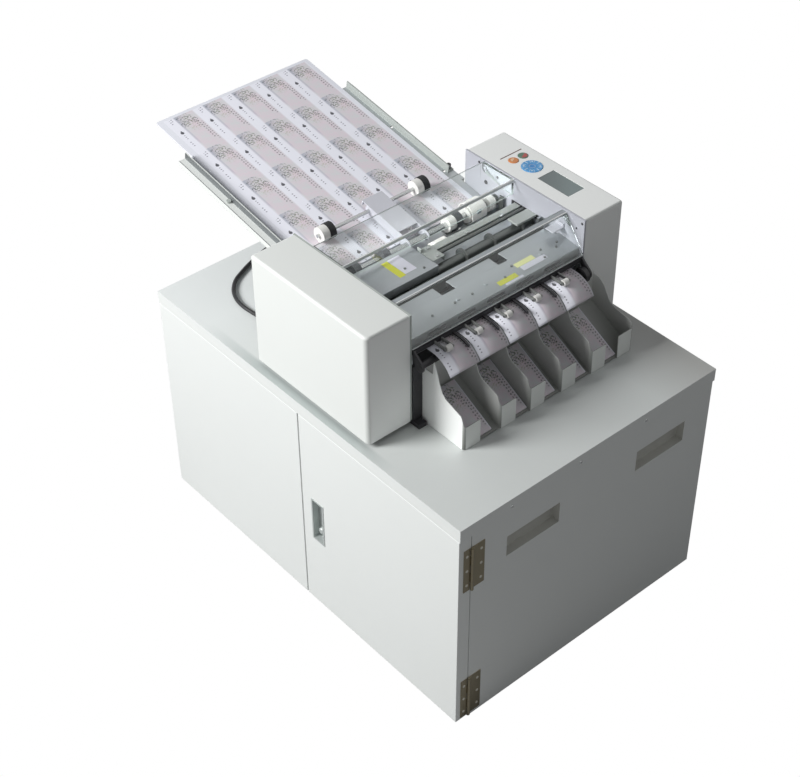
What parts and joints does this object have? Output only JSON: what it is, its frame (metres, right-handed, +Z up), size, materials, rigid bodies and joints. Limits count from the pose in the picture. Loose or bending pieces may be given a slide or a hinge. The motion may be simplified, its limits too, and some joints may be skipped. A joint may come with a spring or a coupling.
{
  "type": "business card cutter",
  "caption": "Desk-top slitting and cutting machine on a two-door steel cabinet: feed table, pick-up arm, slitting blades, cross-cutting blade, clear covers and a divided card tray",
  "frame": {"origin": "on the floor, under the middle of the cabinet", "axes": "+Z up; cards come out towards -Y; sheets go in from +Y; operating panel on the +X housing, doors on the -X side"},
  "size_m": [0.506, 0.8236, 0.6013],
  "materials": {
    "white_steel": "powder coat, fine texture",
    "hinge_steel": "bronzed zinc plate",
    "satin_metal": "satin nickel",
    "bright_steel": "ground steel",
    "grey_steel": "bare brushed steel",
    "lilac_steel": "smooth pale paint",
    "black_steel": "black powder coat",
    "light_plastic": "fine mould texture",
    "white_plastic": "smooth white",
    "black_plastic": "satin black",
    "green_plastic": "green",
    "orange_plastic": "orange",
    "blue_plastic": "blue",
    "board_green": "circuit board",
    "display": "unlit grey-green display",
    "clear_acrylic": "clear acrylic sheet",
    "rubber_black": "black rubber",
    "rubber_grey": "grey rubber",
    "paper": "coated printed card",
    "bronze": "sintered bronze",
    "brass": "brass pinion",
    "lead_pvc": "black PVC"
  },
  "bodies": {
    "machine": {"cabinet_body": "white_steel", "cabinet_top": "white_steel", "hinge_frame_leaves": "hinge_steel", "hinge_pins": "hinge_steel", "rubber_feet": "rubber_black", "base_pan": "black_steel", "left_side_plate": "lilac_steel", "right_side_plate": "lilac_steel", "left_housing": "light_plastic", "right_housing": "light_plastic", "tie_rods": "bright_steel", "display_window": "display", "control_board": "board_green", "feed_table": "grey_steel", "sheet_stack": "paper", "shaft_bushes": "bronze", "paper_deck": "grey_steel", "feed_cover_plate": "grey_steel", "slitter_frame": "lilac_steel", "cut_bed": "grey_steel", "hold_plates": "grey_steel", "front_plate": "grey_steel", "pinch_frame": "black_steel", "output_tray": "grey_steel", "cut_cards": "paper", "drive_motor": "black_steel", "strain_relief": "black_plastic", "power_cord": "lead_pvc", "cord_coil": "lead_pvc", "power_plug": "black_plastic"},
    "near_door": {"near_door": "white_steel", "near_hinge_leaves": "hinge_steel", "door_handle": "satin_metal"},
    "far_door": {"far_door": "white_steel", "far_hinge_leaves": "hinge_steel"},
    "handle_latch": {"handle_latch": "satin_metal"},
    "start_button": {"start_button": "green_plastic"},
    "stop_button": {"stop_button": "orange_plastic"},
    "arrow_pad": {"arrow_pad": "blue_plastic"},
    "ok_button": {"ok_button": "blue_plastic"},
    "left_rail": {"left_guide_rail": "grey_steel", "left_rail_screws": "black_plastic"},
    "right_rail": {"right_guide_rail": "grey_steel", "right_rail_screws": "black_plastic"},
    "rear_cover": {"rear_cover": "clear_acrylic"},
    "front_cover": {"front_cover": "clear_acrylic"},
    "pickup_arm": {"pickup_arm": "lilac_steel"},
    "pickup_roller": {"pickup_shaft": "bright_steel", "pickup_hubs": "white_plastic", "pickup_tyres": "rubber_black"},
    "feed_roller": {"feed_shaft": "bright_steel", "feed_hubs": "white_plastic", "feed_tyres": "rubber_grey"},
    "lower_feed_roller": {"lower_feed_shaft": "bright_steel"},
    "upper_slitter": {"upper_slitter": "bright_steel"},
    "lower_slitter": {"lower_slitter": "bright_steel"},
    "cut_blade": {"cut_blade": "bright_steel"},
    "exit_rollers": {"exit_rollers": "black_plastic"},
    "pinch_rollers": {"pinch_rollers": "white_plastic"},
    "motor_pinion": {"motor_pinion": "brass"}
  },
  "joints": [
    {"name": "near_door_hinge", "type": "hinge", "parent": "machine", "child": "near_door", "pos_m": [-0.23, -0.3485, 0.19], "axis": [0, 0, 1], "range_deg": [0, 110]},
    {"name": "far_door_hinge", "type": "hinge", "parent": "machine", "child": "far_door", "pos_m": [-0.23, 0.3485, 0.19], "axis": [0, 0, -1], "range_deg": [0, 110]},
    {"name": "handle_latch_press", "type": "slide", "parent": "near_door", "child": "handle_latch", "axis": [1, 0, 0], "range_m": [0, 0.003], "stiffness_N_per_m": 600},
    {"name": "start_button_press", "type": "slide", "parent": "machine", "child": "start_button", "axis": [0, 0, -1], "range_m": [0, 0.001], "stiffness_N_per_m": 800},
    {"name": "stop_button_press", "type": "slide", "parent": "machine", "child": "stop_button", "axis": [0, 0, -1], "range_m": [0, 0.001], "stiffness_N_per_m": 800},
    {"name": "arrow_pad_press", "type": "slide", "parent": "machine", "child": "arrow_pad", "axis": [0, 0, -1], "range_m": [0, 0.001], "stiffness_N_per_m": 800},
    {"name": "ok_button_press", "type": "slide", "parent": "machine", "child": "ok_button", "axis": [0, 0, -1], "range_m": [0, 0.001], "stiffness_N_per_m": 800},
    {"name": "left_rail_slide", "type": "slide", "parent": "machine", "child": "left_rail", "axis": [1, 0, 0], "range_m": [0, 0.007]},
    {"name": "right_rail_slide", "type": "slide", "parent": "machine", "child": "right_rail", "axis": [-1, 0, 0], "range_m": [0, 0.007]},
    {"name": "rear_cover_hinge", "type": "hinge", "parent": "machine", "child": "rear_cover", "pos_m": [0.0035, 0.0575, 0.5835], "axis": [-1, 0, 0], "range_deg": [0, 95]},
    {"name": "front_cover_hinge", "type": "hinge", "parent": "machine", "child": "front_cover", "pos_m": [0.0035, -0.106, 0.586], "axis": [-1, 0, 0], "range_deg": [0, 75]},
    {"name": "pickup_arm_lift", "type": "hinge", "parent": "machine", "child": "pickup_arm", "pos_m": [0.0035, 0.038, 0.5394], "axis": [1, 0, 0], "range_deg": [0, 12]},
    {"name": "feed_roller_spin", "type": "hinge", "parent": "machine", "child": "feed_roller", "pos_m": [0.0035, 0.038, 0.5394], "axis": [-1, 0, 0], "continuous": true},
    {"name": "pickup_roller_spin", "type": "hinge", "parent": "pickup_arm", "child": "pickup_roller", "pos_m": [0.0035, 0.1227, 0.55556], "axis": [-1, 0, 0], "continuous": true},
    {"name": "lower_feed_roller_spin", "type": "hinge", "parent": "machine", "child": "lower_feed_roller", "pos_m": [0.0035, 0.038, 0.5163], "axis": [-1, 0, 0], "continuous": true},
    {"name": "upper_slitter_spin", "type": "hinge", "parent": "machine", "child": "upper_slitter", "pos_m": [0.0035, -0.038, 0.5387], "axis": [-1, 0, 0], "continuous": true},
    {"name": "lower_slitter_spin", "type": "hinge", "parent": "machine", "child": "lower_slitter", "pos_m": [0.0035, -0.038, 0.5133], "axis": [-1, 0, 0], "continuous": true},
    {"name": "exit_rollers_spin", "type": "hinge", "parent": "machine", "child": "exit_rollers", "pos_m": [0.0035, -0.16, 0.5131], "axis": [-1, 0, 0], "continuous": true},
    {"name": "pinch_rollers_spin", "type": "hinge", "parent": "machine", "child": "pinch_rollers", "pos_m": [0.0035, -0.171, 0.53012], "axis": [-1, 0, 0], "continuous": true},
    {"name": "motor_pinion_spin", "type": "hinge", "parent": "machine", "child": "motor_pinion", "pos_m": [-0.17, 0.038, 0.51], "axis": [-1, 0, 0], "continuous": true},
    {"name": "cut_blade_stroke", "type": "slide", "parent": "machine", "child": "cut_blade", "axis": [0, 0, -1], "range_m": [0, 0.008]}
  ],
  "couplings": [
    {"joint": "motor_pinion_spin", "follows": "feed_roller_spin", "ratio": -2.2222},
    {"joint": "lower_feed_roller_spin", "follows": "feed_roller_spin", "ratio": -1.5},
    {"joint": "pickup_roller_spin", "follows": "feed_roller_spin", "ratio": 1},
    {"joint": "upper_slitter_spin", "follows": "feed_roller_spin", "ratio": 0.96429},
    {"joint": "lower_slitter_spin", "follows": "feed_roller_spin", "ratio": -1.0385},
    {"joint": "exit_rollers_spin", "follows": "feed_roller_spin", "ratio": -1.125},
    {"joint": "pinch_rollers_spin", "follows": "feed_roller_spin", "ratio": 2.7}
  ]
}
